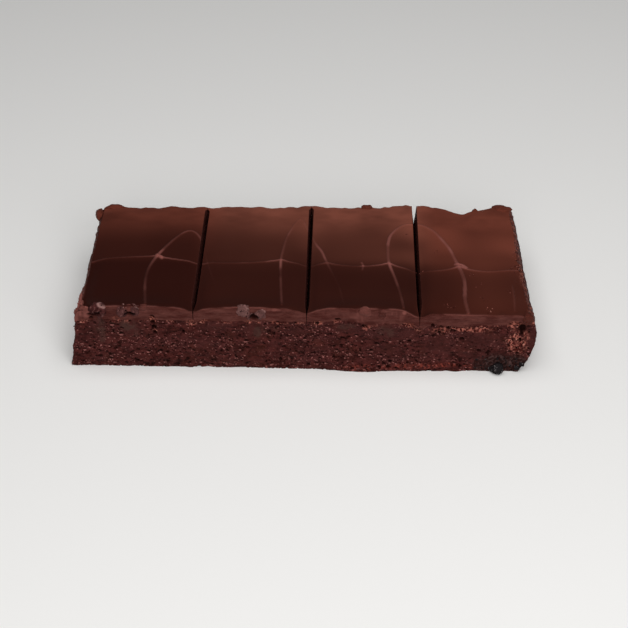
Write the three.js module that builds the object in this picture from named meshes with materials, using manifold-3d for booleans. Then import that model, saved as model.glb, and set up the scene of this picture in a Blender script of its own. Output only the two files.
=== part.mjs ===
// A bar of iced chocolate brownie, 8 inches long and 3 1/2 inches deep, already cut across into four slices
// that still lie together. Each slice is a block of dense cake with a layer of smooth chocolate icing on it.
// Thin beads were piped on the icing: one line along the bar, crossed by an arch at each cut.
// Millimetres. +X runs along the bar, +Y away from the side that shows its crumb, +Z up.
// The origin is under the middle of the bar, on the surface that it stands on.

import * as THREE from "three";
import { mergeVertices } from "three/addons/utils/BufferGeometryUtils.js";
import Module from "manifold-3d";

const wasm = await Module();
wasm.setup();

// Driving sizes of the bar.
// Left end, the three knife cuts and the right end, at the icing's top.
const CUTS = [-98.8, -47.4, 2.6, 52.2, 100.4];
const FRONT = -43.9;
const DEPTH = 89;
const DEPTH_TAPER = 0.018; // the bar gets deeper towards its right end, mm for each mm
const CAKE_HEIGHT = 25.4;
const TOP = 31.3;
const LAYER_GAP = 0.4;

// The knife cuts: a narrow V through the icing, nearly shut in the cake and at the front face.
// The first two are shut at the back edge too.
const GAP_AT_TOP = 2.0;
const GAP_AT_BOTTOM = 0.3;
const GAP_RISES = { from: 20.5, to: 30 }; // the heights between which a cut opens
const GAP_OPENS_OVER = 9; // distance from the front over which it opens
const GAP_SHUTS = { from: 4, to: 1 }; // and distances from the back edge between which it shuts
const CUTS_OPEN_AT_BACK = [3];

// The left end leans out towards its bottom. The right end bulges under the icing and turns a little.
const LEFT_FLARE = 4.2;
const RIGHT_BULGE = { out: 2.2, z: 19, width: 7.5 };
const RIGHT_UNDERCUT = { drawn_in: 4.2, over: 4.8 };
const RIGHT_TURN = 0.028;

// Crumb relief on the sides of the cake.
const CRAG_DEPTH = 0.7;
const CRAG_SIZE = 5;
const BACK_UNDERCUT = 1; // the icing overhangs the cake at the back

// Places where the foot of the front face spreads: place along the bar, distance out, and width.
const FOOT_SPREAD = [
  { x: 24, out: 2.0, width: 16 },
  { x: 55, out: 0.9, width: 14 },
];
const FOOT_HEIGHT = 3.5;

// How the icing rolls down at its edges: drop in mm, and the distance over which it happens.
const CUT_ROLL = { drop: 1.2, over: 3 };
const END_ROLL = { drop: 1.7, over: 4.5 };
const ROLL_FADES = { from: 30, to: 75, left: 0.25 }; // both fade towards the back
const BACK_ROLL = { drop: 0.3, over: 3 };
// The cut along the front left the icing's edge high on three slices and low on the last.
const FRONT_LIP = { rise: [1.4, 1.4, 1.7, -1.0], over: 7 };
const FRONT_NOTCH = { x: CUTS[3], drop: 1.6, over: 5 }; // the third cut dragged the icing down at the front
const EDGE_INSET = 0.8;

// Places where the icing sank into the cake, or rose, along the front: place, change of height, and width.
const LAYER_LINE = [
  { x: -98, up: -1.2, width: 5 },
  { x: -48, up: -0.7, width: 4 },
  { x: 18, up: 0.9, width: 6 },
  { x: 29.6, up: -1.4, width: 4.5 },
  { x: 52.4, up: -3.2, width: 3.6 },
  { x: 70, up: -1.8, width: 9 },
];
const LAYER_LINE_REACH = 12; // how far behind the front face that goes on

// Swells and bites of the back edge: place along the bar, distance out (or in), and width.
const BACK_EDGE = [
  { x: -91, out: 1.4, width: 4 },
  { x: -65, out: 1.4, width: 4.5 },
  { x: -49, out: 1.0, width: 3 },
  { x: -24, out: 1.3, width: 4 },
  { x: -9, out: 1.0, width: 4 },
  { x: 1, out: 1.6, width: 6 },
  { x: 12, out: 1.3, width: 7 },
  { x: 46.5, out: 2.2, width: 7 },
  { x: 58, out: 1.9, width: 5.5 },
  { x: 75, out: -4.5, width: 8 },
  { x: 94, out: 1.4, width: 4 },
];

// Lumps of icing and chocolate pushed up by the knife. from_front is measured from the front face.
const ICING_LUMPS = [
  { slice: 0, x: -89.2, from_front: 1.0, z: 30.8, size: [2.7, 1.9, 2.6] },
  { slice: 0, x: -75.5, from_front: 0.8, z: 30.6, size: [3.2, 1.7, 2.6] },
  { slice: 0, x: -65.4, from_front: 0.8, z: 31.2, size: [1.9, 1.4, 1.9] },
  { slice: 0, x: -91.0, from_front: 86.9, z: 29.9, size: [3.6, 1.9, 2.0] },
  { slice: 0, x: -99.2, from_front: 81.8, z: 29.2, size: [2.2, 4.4, 2.4] },
  { slice: 1, x: -25.4, from_front: 0.5, z: 30.6, size: [2.4, 1.6, 2.4] },
  { slice: 1, x: -19.6, from_front: 0.6, z: 29.6, size: [2.0, 1.3, 2.6] },
  { slice: 2, x: 28.4, from_front: 0.6, z: 31.0, size: [3.2, 1.6, 2.4] },
  { slice: 2, x: 35.6, from_front: 0.4, z: 30.4, size: [2.2, 1.4, 2.6] },
  { slice: 2, x: 29.6, from_front: 88.8, z: 30.2, size: [2.6, 2.0, 2.2] },
  { slice: 3, x: 93.4, from_front: 89.0, z: 29.9, size: [4.6, 3.2, 2.4] },
];
const CAKE_LUMPS = [
  { slice: 3, x: 87.7, from_front: -1.6, z: 2.75, size: [2.8, 2.6, 2.6] },
];

// The piped beads. Points are x and distance from the front face, run through by a smooth curve.
const BEAD_RADIUS = 1.0;
const BEAD_STANDS = 0.55; // height of the bead above the icing
const BEAD_STEP = 3.6;
const BEAD_SIDES = 6;
const BEAD_ENDS = 1.5; // a knife cut stops a bead this far from the middle of the cut
const ARCHES = [
  [
    [-68.4, 2.5], [-70.3, 20], [-68.5, 38.5], [-61.5, 56], [-54.4, 65],
    [-48.6, 58], [-43.2, 36.5], [-36.4, 4.5],
  ],
  [
    [-8.4, 3.5], [-10, 22.5], [-10, 44.5], [-6.4, 67], [-1.6, 76.7],
    [2.2, 67], [8.6, 49.5], [14.6, 25.5], [18.8, 4.5],
  ],
  [
    [45.1, 2.5], [42, 25.5], [38.9, 45.5], [41.2, 64.5], [51, 73.9],
    [61, 66.5], [68.6, 47.5], [72.6, 28.5], [72.8, 2.5],
  ],
];
const EDGE_BEAD = [[93.8, 25], [94.1, 12], [93.7, 3]];
// The long bead hangs in swags between the places where it is stuck down.
// sag is that of the swag before a place.
const LONG_BEAD = [
  { x: -97, from_front: 39.3, sag: 0 },
  { x: -68, from_front: 42.3, sag: 0 },
  { x: -10, from_front: 40.6, sag: 3.9 },
  { x: 11, from_front: 38.6, sag: 2.1 },
  { x: 39, from_front: 38.9, sag: 2.4 },
  { x: 71, from_front: 36.7, sag: 4.6 },
  { x: 97, from_front: 36.9, sag: 3.6 },
];

// Value noise from -1 to 1, smooth, one cell for each unit.
function noise(x, y, z) {
  const corner = (i, j, k) => {
    const wave = Math.sin(i * 127.1 + j * 311.7 + k * 74.7) * 43758.5453;
    return wave - Math.floor(wave);
  };
  const cell = [x, y, z].map(Math.floor);
  const ease = [x, y, z].map((v, i) => THREE.MathUtils.smoothstep(v - cell[i], 0, 1));
  let sum = 0;
  for (let n = 0; n < 8; n++) {
    const [i, j, k] = [n & 1, (n >> 1) & 1, n >> 2];
    const weight =
      (i ? ease[0] : 1 - ease[0]) * (j ? ease[1] : 1 - ease[1]) * (k ? ease[2] : 1 - ease[2]);
    sum += weight * corner(cell[0] + i, cell[1] + j, cell[2] + k);
  }
  return 2 * sum - 1;
}

const bell = (distance, width) => Math.exp(-((distance / width) ** 2));
const { lerp, smoothstep } = THREE.MathUtils;

// Rows of a grid lie closer together near its two edges.
const closerAtEdges = (t) => t - (0.45 / (2 * Math.PI)) * Math.sin(2 * Math.PI * t);

// y of the back edge.
function backEdge(x) {
  const swells = BACK_EDGE.reduce((sum, s) => sum + s.out * bell(x - s.x, s.width), 0);
  return FRONT + DEPTH + DEPTH_TAPER * x + swells;
}

// x of the face of a slice at a cut or end. side is 1 for the face right of it, -1 for the face left of it.
function wallAt(cut, side, y, z) {
  const low = 1 - z / TOP;
  if (cut === 0) return CUTS[0] - LEFT_FLARE * low + 0.6 * noise(y / 14, z / 9, 3);
  if (cut === CUTS.length - 1) {
    const bulge = RIGHT_BULGE.out * bell(z - RIGHT_BULGE.z, RIGHT_BULGE.width);
    const undercut = RIGHT_UNDERCUT.drawn_in * bell(z, RIGHT_UNDERCUT.over);
    return CUTS[cut] + bulge - undercut - RIGHT_TURN * y + 0.6 * noise(y / 12, z / 9, 8);
  }
  const toBack = FRONT + DEPTH - y;
  const shut = CUTS_OPEN_AT_BACK.includes(cut) ? 0 : 1 - smoothstep(toBack, GAP_SHUTS.to, GAP_SHUTS.from);
  const rise = smoothstep(z, GAP_RISES.from, GAP_RISES.to);
  const open = smoothstep(y, FRONT, FRONT + GAP_OPENS_OVER) * rise * (1 - shut);
  return CUTS[cut] + (side * lerp(GAP_AT_BOTTOM, GAP_AT_TOP, open)) / 2;
}

// How far (x, y) is from the nearest cut or end of its slice, with that edge's roll.
function nearestEdge(slice, x) {
  const edges = [slice, slice + 1].map((cut) => ({
    distance: Math.abs(x - CUTS[cut]),
    roll: cut === 0 || cut === CUTS.length - 1 ? END_ROLL : CUT_ROLL,
  }));
  return edges[0].distance < edges[1].distance ? edges[0] : edges[1];
}

// z of the icing's top.
function icingTop(slice, x, y) {
  const edge = nearestEdge(slice, x);
  const fromFront = y - FRONT;
  const fade = lerp(1, ROLL_FADES.left, smoothstep(fromFront, ROLL_FADES.from, ROLL_FADES.to));
  const lip = FRONT_LIP.rise[slice] * bell(fromFront, FRONT_LIP.over) * (1 - bell(edge.distance, 8));
  const notch =
    FRONT_NOTCH.drop * bell(x - FRONT_NOTCH.x, FRONT_NOTCH.over) * bell(fromFront, FRONT_NOTCH.over);
  return (
    TOP +
    lip -
    notch -
    edge.roll.drop * bell(edge.distance, edge.roll.over) * fade -
    BACK_ROLL.drop * bell(backEdge(x) - y, BACK_ROLL.over) +
    0.3 * noise(x / 16, y / 16, 0)
  );
}

// y of the front face of the cake.
function frontFace(x, z) {
  const spread = FOOT_SPREAD.reduce((sum, s) => sum + s.out * bell(x - s.x, s.width), 0);
  return FRONT - spread * bell(z, FOOT_HEIGHT);
}

// z of the cake's top, under the icing.
function cakeTop(x, y) {
  const line = LAYER_LINE.reduce((sum, p) => sum + p.up * bell(x - p.x, p.width), 0);
  return CAKE_HEIGHT + line * bell(y - FRONT, LAYER_LINE_REACH) + 0.6 * noise(x / 15, y / 20, 5);
}

// A closed box of quads, with its points moved to where place(u, v, w) puts them.
function block(steps, place) {
  const box = new THREE.BoxGeometry(1, 1, 1, ...steps);
  box.deleteAttribute("normal");
  box.deleteAttribute("uv");
  const solid = mergeVertices(box, 1e-4);
  const at = solid.attributes.position;
  for (let i = 0; i < at.count; i++)
    at.setXYZ(i, ...place(at.getX(i) + 0.5, at.getY(i) + 0.5, at.getZ(i) + 0.5));
  return solid;
}

// A slice's cake: flat underneath, with crags on its front, back and end faces.
function cake(slice) {
  return block([11, 15, 5], (u, v, w) => {
    const across = closerAtEdges(u);
    const along = closerAtEdges(v);
    const y0 = lerp(FRONT, FRONT + DEPTH, along);
    const x0 = lerp(CUTS[slice], CUTS[slice + 1], across);
    const z = w * cakeTop(x0, y0);
    const x = lerp(wallAt(slice, 1, y0, z), wallAt(slice + 1, -1, y0, z), across);
    const outward = v === 0 ? -1 : v === 1 ? 1 : 0;
    const crag = CRAG_DEPTH * noise(x / CRAG_SIZE, z / (CRAG_SIZE - 1), 40 + outward);
    const y = lerp(frontFace(x, z), backEdge(x) - BACK_UNDERCUT, along) + outward * crag;
    return [x, y, z];
  });
}

// A slice's slab of icing, its upper edges drawn in a little.
function icing(slice) {
  return block([11, 15, 2], (u, v, w) => {
    const across = closerAtEdges(u);
    const along = closerAtEdges(v);
    const y0 = lerp(FRONT, FRONT + DEPTH, along);
    const x0 = lerp(CUTS[slice], CUTS[slice + 1], across);
    const low = cakeTop(x0, y0) + LAYER_GAP;
    const z = lerp(low, icingTop(slice, x0, y0), w);
    const drawnIn = w === 1 ? EDGE_INSET : 0;
    const left = wallAt(slice, 1, y0, z) + drawnIn * (slice === 0 ? 1.5 : 0.4);
    const right = wallAt(slice + 1, -1, y0, z) - drawnIn * (slice === 3 ? 1.5 : 0.4);
    const x = lerp(left, right, across);
    const wobble = w === 0 ? -0.8 : 0.5 * noise(x / 4, z / 4, 21);
    const y = lerp(FRONT + 0.1, backEdge(x) + wobble - drawnIn, along);
    return [x, y, z];
  });
}

// Geometry to solid and back, for the joins.
function toSolid(geometry) {
  const bare = new THREE.BufferGeometry().setAttribute("position", geometry.getAttribute("position"));
  bare.setIndex(geometry.index);
  const merged = mergeVertices(bare, 1e-4);
  return new wasm.Manifold(
    new wasm.Mesh({
      numProp: 3,
      vertProperties: new Float32Array(merged.attributes.position.array),
      triVerts: new Uint32Array(merged.index.array),
    }),
  );
}

function toGeometry(solid) {
  const mesh = solid.getMesh();
  const geometry = new THREE.BufferGeometry();
  geometry.setAttribute("position", new THREE.BufferAttribute(new Float32Array(mesh.vertProperties), 3));
  geometry.setIndex([...mesh.triVerts]);
  geometry.computeVertexNormals();
  return geometry;
}

// A rough ball of icing or chocolate.
function lump({ x, from_front: fromFront, z, size }) {
  const ball = new THREE.IcosahedronGeometry(1, 1);
  ball.scale(...size);
  ball.translate(x, FRONT + fromFront, z);
  return ball;
}

// The line of the long bead: swags between its stuck points.
function longBead() {
  const points = [];
  for (let i = 1; i < LONG_BEAD.length; i++) {
    const [a, b] = [LONG_BEAD[i - 1], LONG_BEAD[i]];
    for (let t = 0; t < 1; t += 0.125)
      points.push([
        lerp(a.x, b.x, t),
        lerp(a.from_front, b.from_front, t) - b.sag * 4 * t * (1 - t),
      ]);
  }
  const last = LONG_BEAD.at(-1);
  points.push([last.x, last.from_front]);
  return points;
}

// Points along a smooth curve, a step apart.
function pointsAlong(points, step) {
  const curve = new THREE.CatmullRomCurve3(points);
  return curve.getSpacedPoints(Math.max(2, Math.round(curve.getLength() / step)));
}

// The stretches of a line that lie on a slice, clear of its cut faces.
function stretchesOn(slice, line) {
  const fine = pointsAlong(line.map(([x, d]) => new THREE.Vector3(x, FRONT + d, 0)), 0.3);
  const stretches = [[]];
  for (const p of fine) {
    const on = p.x > CUTS[slice] + BEAD_ENDS && p.x < CUTS[slice + 1] - BEAD_ENDS;
    if (on) stretches.at(-1).push(p);
    else if (stretches.at(-1).length) stretches.push([]);
  }
  return stretches.filter((s) => s.length > 12).map((s) => pointsAlong(s, BEAD_STEP));
}

// A round bead along a stretch, sunk in the icing so that only its crown stands out.
function bead(slice, stretch) {
  const points = stretch.map(
    (p) => new THREE.Vector3(p.x, p.y, icingTop(slice, p.x, p.y) + BEAD_STANDS - BEAD_RADIUS),
  );
  const section = new THREE.Shape(
    Array.from({ length: BEAD_SIDES }, (_, i) => {
      const turn = ((i + 0.5) / BEAD_SIDES) * 2 * Math.PI;
      return new THREE.Vector2(BEAD_RADIUS * Math.cos(turn), BEAD_RADIUS * Math.sin(turn));
    }),
  );
  return new THREE.ExtrudeGeometry(section, {
    steps: points.length - 1,
    extrudePath: new THREE.CatmullRomCurve3(points),
    bevelEnabled: false,
  });
}

const cakeMaterial = new THREE.MeshStandardMaterial({ color: 0x3d1e1b, roughness: 0.85, metalness: 0 });
const icingMaterial = new THREE.MeshStandardMaterial({ color: 0x33170f, roughness: 0.4, metalness: 0 });

function named(name, solid, material) {
  const mesh = new THREE.Mesh(toGeometry(solid), material);
  mesh.name = name;
  return mesh;
}

const bar = new THREE.Group();
for (let slice = 0; slice < CUTS.length - 1; slice++) {
  const lumpsOf = (all) => all.filter((l) => l.slice === slice).map((l) => toSolid(lump(l)));
  const beads = [...ARCHES, EDGE_BEAD, longBead()]
    .flatMap((line) => stretchesOn(slice, line))
    .map((stretch) => toSolid(bead(slice, stretch)));
  const cakeSolid = lumpsOf(CAKE_LUMPS).reduce((a, b) => a.add(b), toSolid(cake(slice)));
  const icingSolid = [...lumpsOf(ICING_LUMPS), ...beads].reduce((a, b) => a.add(b), toSolid(icing(slice)));
  bar.add(named(`slice_${slice + 1}_cake`, cakeSolid, cakeMaterial));
  bar.add(named(`slice_${slice + 1}_icing`, icingSolid, icingMaterial));
}

export default bar;
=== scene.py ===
"""A bar of iced chocolate brownie, already cut across into four slices that still lie together.

Each slice is a block of dense, moist crumb under a layer of smooth chocolate icing. Sizes in this
file are millimetres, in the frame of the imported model: +X along the bar, +Y away from the side that
shows its crumb, +Z up, and the origin under the middle of the bar.
"""

import logging
import math
from dataclasses import dataclass
from enum import Enum

import bmesh
import bpy
import numpy as np
from mathutils import Matrix, Vector


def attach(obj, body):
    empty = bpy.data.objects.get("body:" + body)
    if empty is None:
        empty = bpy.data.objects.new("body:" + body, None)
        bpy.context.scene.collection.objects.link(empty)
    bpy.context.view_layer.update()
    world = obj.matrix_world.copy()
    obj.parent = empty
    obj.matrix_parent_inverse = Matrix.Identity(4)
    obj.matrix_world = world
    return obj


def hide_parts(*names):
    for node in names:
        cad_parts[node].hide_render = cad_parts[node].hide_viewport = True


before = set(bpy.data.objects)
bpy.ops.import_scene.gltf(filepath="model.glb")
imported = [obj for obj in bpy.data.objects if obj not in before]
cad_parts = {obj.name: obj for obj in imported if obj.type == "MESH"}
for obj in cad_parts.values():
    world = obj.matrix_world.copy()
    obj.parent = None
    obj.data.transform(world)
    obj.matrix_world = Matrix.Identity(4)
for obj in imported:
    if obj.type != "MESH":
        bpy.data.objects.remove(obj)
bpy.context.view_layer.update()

log = logging.getLogger("brownie")
MM = 0.001
Values = np.ndarray
Piece = bpy.types.Object
Socket = bpy.types.NodeSocket


# Small sums that every form uses.


def bell(distance: Values, width: float) -> Values:
    """A smooth hump, 1 at no distance and about a third at one width."""
    return np.exp(-((distance / width) ** 2))


def ramp(value: Values, low: float, high: float) -> Values:
    """Eases from 0 at low to 1 at high."""
    t = np.clip((value - low) / (high - low), 0.0, 1.0)
    return t * t * (3.0 - 2.0 * t)


def between(a: Values, b: Values, t: Values) -> Values:
    """The value a share t of the way from a to b."""
    return a + (b - a) * t


def chance(i: Values, j: Values, k: Values, seed: int) -> Values:
    """Gives each cell of a lattice a fixed number from 0 to 1.

    Args:
        i, j, k: whole-number cell addresses.
        seed: picks another set of numbers.

    Returns:
        One number for each cell.
    """
    word = (i.astype(np.int64) * 0x8DA6B343) ^ (j.astype(np.int64) * 0xD8163841)
    word = (word ^ (k.astype(np.int64) * 0xCB1AB31F) ^ (seed * 0x9E3779B1)) & 0xFFFFFFFF
    for shift, factor in ((15, 0x2C1B3C6D), (12, 0x297A2D39), (15, 1)):
        word = ((word ^ (word >> shift)) * factor) & 0xFFFFFFFF
    return word / 0xFFFFFFFF


def noise(x: Values, y: Values, z: Values, seed: int = 0) -> Values:
    """Smooth noise from -1 to 1, with one cell for each unit.

    Args:
        x, y, z: where it is read, already divided by the size of its lumps.
        seed: picks another pattern.

    Returns:
        One value for each point.
    """
    points = np.broadcast_arrays(x, y, z)
    cells = [np.floor(p) for p in points]
    eased = [ramp(p - c, 0.0, 1.0) for p, c in zip(points, cells)]
    total = np.zeros(points[0].shape)
    for corner in range(8):
        steps = [corner >> n & 1 for n in range(3)]
        weight = np.ones(points[0].shape)
        for share, step in zip(eased, steps):
            weight = weight * (share if step else 1.0 - share)
        total += weight * chance(*[c + s for c, s in zip(cells, steps)], seed)
    return 2.0 * total - 1.0


def crumbly(x: Values, y: Values, z: Values, seed: int, octaves: int = 3) -> Values:
    """Noise with finer noise on it, from about -1 to 1."""
    total, height = np.zeros(np.broadcast(x, y, z).shape), 0.6
    for n in range(octaves):
        total += height * noise(x * 2**n, y * 2**n, z * 2**n, seed + 7 * n)
        height *= 0.55
    return total


@dataclass(frozen=True)
class Pits:
    """Round holes scattered over a face, as gas bubbles leave in crumb.

    pitch is the spacing in mm, share the part of the places that has a hole, small and large its
    radius, and long how much longer than high it is.
    """

    pitch: float
    share: float
    small: float
    large: float
    long: float
    seed: int

    def depth(self, a: Values, b: Values, share: Values | float = 1.0) -> Values:
        """How deep the holes are at each point of a face.

        Args:
            a, b: the point along and up the face, mm.
            share: thins the holes out where it is under 1.

        Returns:
            0 outside a hole to 1 at its middle.
        """
        a, b = np.broadcast_arrays(a / self.long, b)
        i, j = np.floor(a / self.pitch), np.floor(b / self.pitch)
        deepest = np.zeros(a.shape)
        for di in (-1, 0, 1):
            for dj in (-1, 0, 1):
                ci, cj = i + di, j + dj
                right, up, size, odds = (chance(ci, cj, ci * 0, self.seed + n) for n in range(4))
                radius = between(self.small, self.large, size**2)
                out = np.hypot(a - (ci + right) * self.pitch, b - (cj + up) * self.pitch) / radius
                hole = (odds < self.share * share) * np.sqrt(np.clip(1.0 - out**2, 0.0, 1.0))
                deepest = np.maximum(deepest, hole)
        return deepest


@dataclass(frozen=True)
class Spot:
    """An oval place on the front face: its middle x and z, its half sizes and how strong it is."""

    x: float
    z: float
    half_length: float
    half_height: float
    strength: float = 1.0

    def at(self, x: Values, z: Values) -> Values:
        """1 at the middle of the place, fading to 0 past its edge."""
        out = np.hypot((x - self.x) / self.half_length, (z - self.z) / self.half_height)
        return self.strength * (1.0 - ramp(out, 0.6, 1.25))


def most(spots: tuple[Spot, ...], x: Values, z: Values) -> Values:
    """The strongest of several places at each point."""
    return np.max([s.at(x, z) for s in spots], axis=0)


class Cut(Enum):
    """The ends of the bar and the knife cuts, by their number from the left."""

    LEFT_END = 0
    FIRST = 1
    SECOND = 2
    THIRD = 3
    RIGHT_END = 4


@dataclass(frozen=True)
class Swell:
    """A place along an edge where it stands out, or in if negative, and how wide that is, mm."""

    middle: float
    out: float
    width: float

    def at(self, along: Values) -> Values:
        """How far the edge stands out at each point."""
        return self.out * bell(along - self.middle, self.width)


def swollen(swells: tuple[Swell, ...], along: Values) -> Values:
    """How far an edge with several swells stands out."""
    return sum(s.at(along) for s in swells)


@dataclass(frozen=True)
class Bar:
    """The shape that all the slices share, with the same sizes as the solids."""

    cuts: tuple[float, ...] = (-98.8, -47.4, 2.6, 52.2, 100.4)
    front: float = -43.9
    depth: float = 89.0
    taper: float = 0.018
    cake_height: float = 25.4
    top: float = 31.3
    gap_at_top: float = 2.0
    gap_at_bottom: float = 0.02  # the solids keep 0.3 apart, which soft crumb has closed
    gap_rises: tuple[float, float] = (20.5, 30.0)
    gap_opens: tuple[float, float] = (-3.0, 9.0)
    gap_shuts: tuple[float, float] = (1.0, 4.0)
    open_at_back: tuple[Cut, ...] = (Cut.THIRD,)
    left_flare: float = 4.2
    right_swells: tuple[Swell, ...] = (Swell(19.0, 2.2, 7.5), Swell(0.0, -4.2, 4.8))
    right_turn: float = 0.028
    end_waves: float = 0.6
    lips: tuple[float, ...] = (1.4, 1.4, 1.7, -1.0)
    lip_width: float = 7.0
    notch: Swell = Swell(52.2, 1.6, 5.0)
    cut_droop: tuple[float, float] = (1.2, 3.0)
    end_droop: tuple[float, float] = (1.7, 4.5)
    foot_height: float = 3.5
    foot_spread: tuple[Swell, ...] = (Swell(24, 2.0, 16.0), Swell(55, 0.9, 14.0))
    back_edge_swells: tuple[Swell, ...] = (
        Swell(-91, 1.4, 4.0), Swell(-65, 1.4, 4.5), Swell(-49, 1.0, 3.0), Swell(-24, 1.3, 4.0),
        Swell(-9, 1.0, 4.0), Swell(1, 1.6, 6.0), Swell(12, 1.3, 7.0), Swell(46.5, 2.2, 7.0),
        Swell(58, 1.9, 5.5), Swell(75, -4.5, 8.0), Swell(94, 1.4, 4.0),
    )
    layer_line: tuple[Swell, ...] = (
        Swell(-98, -1.2, 5.0), Swell(-48, -0.7, 4.0), Swell(18, 0.9, 6.0), Swell(29.6, -1.4, 4.5),
        Swell(52.4, -3.2, 3.6), Swell(70, -1.8, 9.0),
    )

    def back(self, x: Values) -> Values:
        """y of the back edge."""
        return self.front + self.depth + self.taper * x + swollen(self.back_edge_swells, x)

    def front_face(self, x: Values, z: Values) -> Values:
        """y of the front face of the cake, whose foot spreads in places."""
        return self.front - swollen(self.foot_spread, x) * bell(z, self.foot_height)

    def wall(self, cut: Cut, side: int, y: Values, z: Values) -> Values:
        """Gives x of the face at a cut or end.

        Args:
            cut: which cut or end.
            side: 1 for the face right of it, -1 for the face left of it.
            y, z: the point on the face.

        Returns:
            x of each point.
        """
        place = self.cuts[cut.value]
        if cut is Cut.LEFT_END:
            waves = self.end_waves * noise(y / 14, z / 9, 3.0)
            return place - self.left_flare * (1.0 - z / self.top) + waves
        if cut is Cut.RIGHT_END:
            waves = self.end_waves * noise(y / 12, z / 9, 8.0)
            return place + swollen(self.right_swells, z) - self.right_turn * y + waves
        opened = ramp(y - self.front, *self.gap_opens) * ramp(z, *self.gap_rises)
        opened = opened * (1.0 - self.shut(cut, y))
        return place + side * between(self.gap_at_bottom, self.gap_at_top, opened) / 2

    def shut(self, cut: Cut, y: Values) -> Values:
        """How far a cut has shut towards the back edge, 0 to 1."""
        if cut in self.open_at_back:
            return np.zeros(np.shape(y))
        return 1.0 - ramp(self.front + self.depth - y, *self.gap_shuts)

    def layer(self, x: Values, y: Values) -> Values:
        """z of the line where the cake ends and the icing starts."""
        line = swollen(self.layer_line, x) * bell(y - self.front, 12.0)
        return self.cake_height + line + 0.35 * crumbly(x / 2.6, y / 2.6, 4.0, 71)

    def surface(self, slice_index: int, x: Values, y: Values) -> Values:
        """Gives z of the icing's top, without its beads.

        Args:
            slice_index: 0 to 3 from the left.
            x, y: the points.

        Returns:
            z of each point.
        """
        left, right = x - self.cuts[slice_index], self.cuts[slice_index + 1] - x
        nearest = np.minimum(np.abs(left), np.abs(right))
        at_end = (slice_index == 0) & (left < right) | (slice_index == 3) & (right < left)
        droop, over = (np.where(at_end, *pair) for pair in zip(self.end_droop, self.cut_droop))
        from_front = y - self.front
        # The icing droops less at the far half of a cut or end.
        droop = droop * (1.0 - 0.75 * ramp(from_front, 30.0, 75.0)) * bell(nearest, over)
        lip = self.lips[slice_index] * bell(from_front, self.lip_width) * (1.0 - bell(nearest, 8.0))
        notch = self.notch.at(x) * bell(from_front, self.notch.width)
        waves = 0.14 * noise(x / 19, y / 17, 0.0, 5) + 0.03 * noise(x / 8, y / 6, 0.0, 6)
        waves = waves + 0.3 * crumbly(x / 4.0, 3.0, 1.0, 81, 3) * bell(from_front, 1.6)
        back_roll = 0.3 * bell(self.back(x) - y, 3.0)
        return self.top + lip - notch - droop - back_roll + waves


BAR = Bar()


def add_object(name: str, data: bpy.types.ID) -> Piece:
    """Puts a mesh, a light or a camera into the scene."""
    made = bpy.data.objects.new(name, data)
    bpy.context.scene.collection.objects.link(made)
    return made


def to_piece(bm: bmesh.types.BMesh, name: str) -> Piece:
    """Turns a finished bmesh into an object of the scene."""
    mesh = bpy.data.meshes.new(name)
    bm.to_mesh(mesh)
    bm.free()
    return add_object(name, mesh)


def boxed_grid(name: str, steps: tuple[int, int, int]) -> Piece:
    """Makes a closed cube of even quads, one unit wide, from corner (0, 0, 0).

    Args:
        name: the piece's name.
        steps: how many quads it has along each axis.

    Returns:
        The object, with smooth faces and crisp corners, except along the top's ends and back.
    """
    bm = bmesh.new()
    bmesh.ops.create_cube(bm, size=1.0, matrix=Matrix.Translation((0.5, 0.5, 0.5)))
    for axis, count in enumerate(steps):
        along = [e for e in bm.edges if abs(e.verts[0].co[axis] - e.verts[1].co[axis]) > 0.5]
        bmesh.ops.subdivide_edges(bm, edges=along, cuts=count - 1)
    for face in bm.faces:
        face.smooth = True
    for edge in bm.edges:
        place = (edge.verts[0].co + edge.verts[1].co) / 2
        edge.smooth = edge.calc_face_angle(0.0) < 1.0 or (place.z > 0.999 and place.y > 0.001)
    return to_piece(bm, name)


def sides(u: Values, v: Values) -> tuple[Values, Values, Values, Values]:
    """Which points of a boxed grid are on its front, its back, its left and its right."""
    near = 1e-5
    return v < near, v > 1 - near, u < near, u > 1 - near


def read_points(piece: Piece) -> Values:
    """Reads a mesh's points as an array of rows."""
    points = np.empty(len(piece.data.vertices) * 3, dtype=np.float32)
    piece.data.vertices.foreach_get("co", points)
    return points.reshape(-1, 3).astype(np.float64)


def write_points(piece: Piece, points: Values) -> None:
    """Moves a mesh's points to places given in mm."""
    piece.data.vertices.foreach_set("co", (points * MM).astype(np.float32).ravel())
    piece.data.update()


def write_shares(piece: Piece, **shares: Values) -> None:
    """Keeps one number for each point and name, for the piece's material to read."""
    for name, values in shares.items():
        layer = piece.data.attributes.new(name, "FLOAT", "POINT")
        values = np.broadcast_to(values, len(piece.data.vertices))
        layer.data.foreach_set("value", values.astype(np.float32))


# Materials.


def linear(hex_colour: str) -> tuple[float, float, float, float]:
    """Turns an sRGB hex colour into the linear one that a shader takes."""
    parts = [int(hex_colour[i : i + 2], 16) / 255 for i in (1, 3, 5)]
    return (*[c / 12.92 if c <= 0.04045 else ((c + 0.055) / 1.055) ** 2.4 for c in parts], 1.0)


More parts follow.
